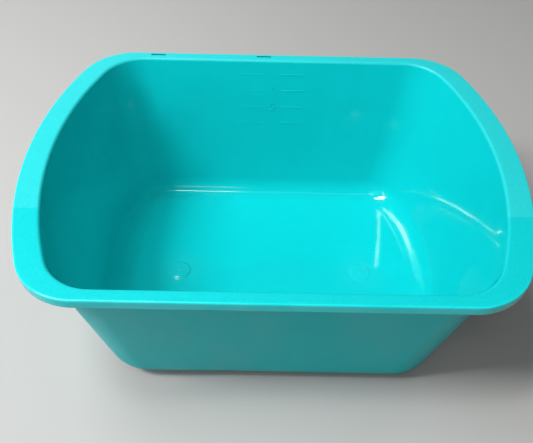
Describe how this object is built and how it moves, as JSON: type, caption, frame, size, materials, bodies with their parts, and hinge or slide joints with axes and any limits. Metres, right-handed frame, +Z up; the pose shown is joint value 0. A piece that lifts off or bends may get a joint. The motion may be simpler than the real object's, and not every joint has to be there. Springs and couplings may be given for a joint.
{
  "type": "hand basin",
  "caption": "Rectangular wash basin moulded in one piece, with bowed ends, tapered walls, a flat rim with a turned-down edge and a volume scale inside.",
  "frame": {"origin": "middle of the underside, on the plane the basin stands on", "axes": "+X along the length of the basin, +Y towards the long wall with the volume scale, +Z up out of the mouth"},
  "size_m": [0.339, 0.2474, 0.1339],
  "materials": {
    "basin": "turquoise polypropylene, glossy inside, fine satin texture on the rim and outside"
  },
  "bodies": {
    "root": {"basin": "basin"}
  },
  "joints": []
}
